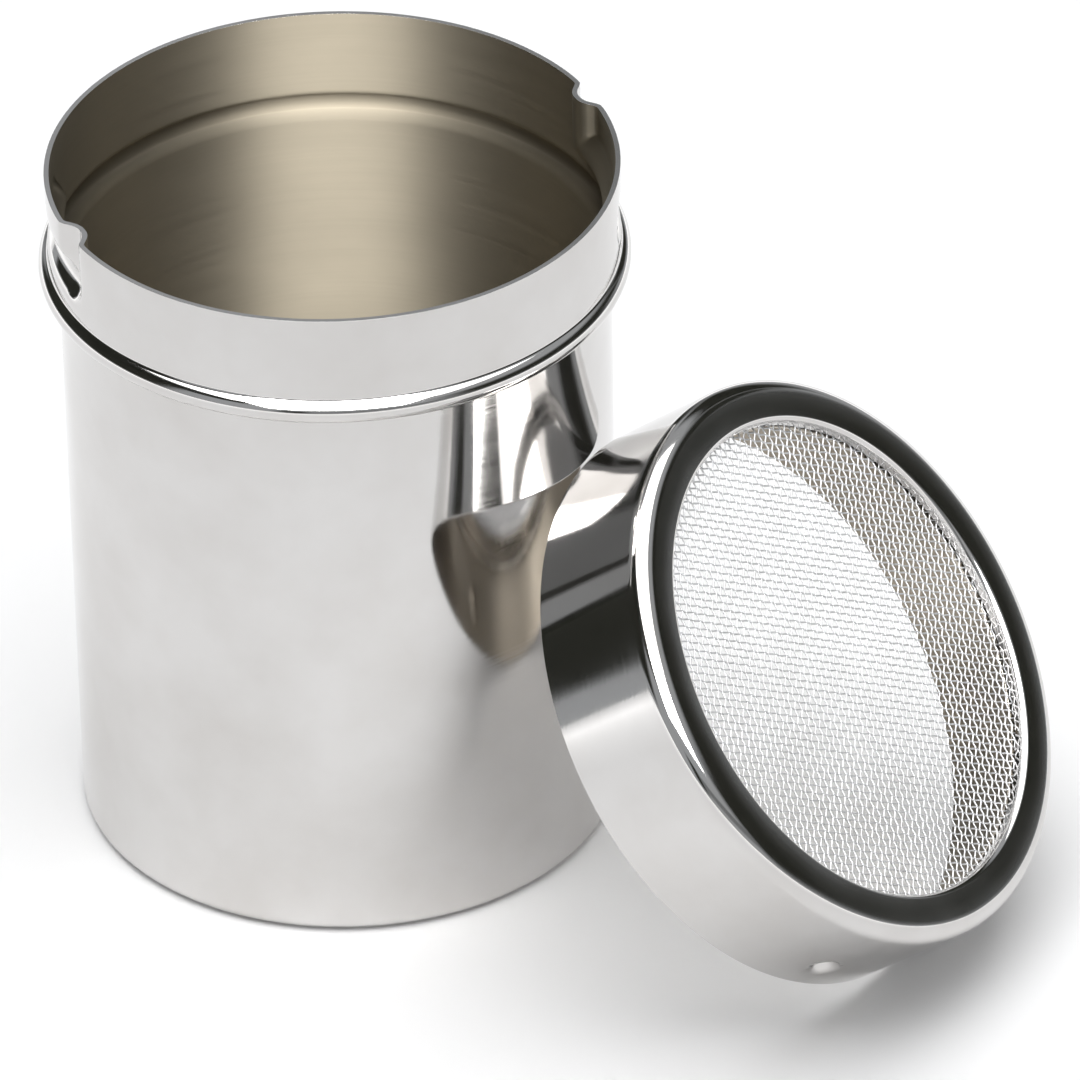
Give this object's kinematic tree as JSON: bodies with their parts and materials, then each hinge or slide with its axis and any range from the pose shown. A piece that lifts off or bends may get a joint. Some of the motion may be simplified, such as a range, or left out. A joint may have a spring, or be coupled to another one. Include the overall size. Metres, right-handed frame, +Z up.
{
  "type": "mesh-top spice shaker",
  "caption": "Straight-sided steel shaker can with a beaded bayonet neck, and its twist-lock lid with a mesh screen, taken off and leaning against the can.",
  "frame": {"origin": "centre of the can's base, on the surface that both pieces stand on", "axes": "+Z up along the can's axis, +X from the can towards the lid that leans on it, +Y completes a right-handed set"},
  "size_m": [0.1253, 0.0732, 0.089],
  "materials": {
    "can_steel": "polished stainless steel outside, satin drawn finish inside",
    "lid_steel": "polished stainless steel",
    "wire_mesh": "bright woven stainless wire",
    "ring_steel": "satin stainless steel"
  },
  "bodies": {
    "can": {"can_body": "can_steel"},
    "lid": {"lid_shell": "lid_steel", "mesh_screen": "wire_mesh", "mesh_retaining_ring": "ring_steel"}
  },
  "joints": [
    {"name": "lid_lift", "type": "slide", "parent": "can", "child": "lid", "axis": [0.7807, 0.0546, 0.6225], "range_m": [0, 0.1]}
  ]
}
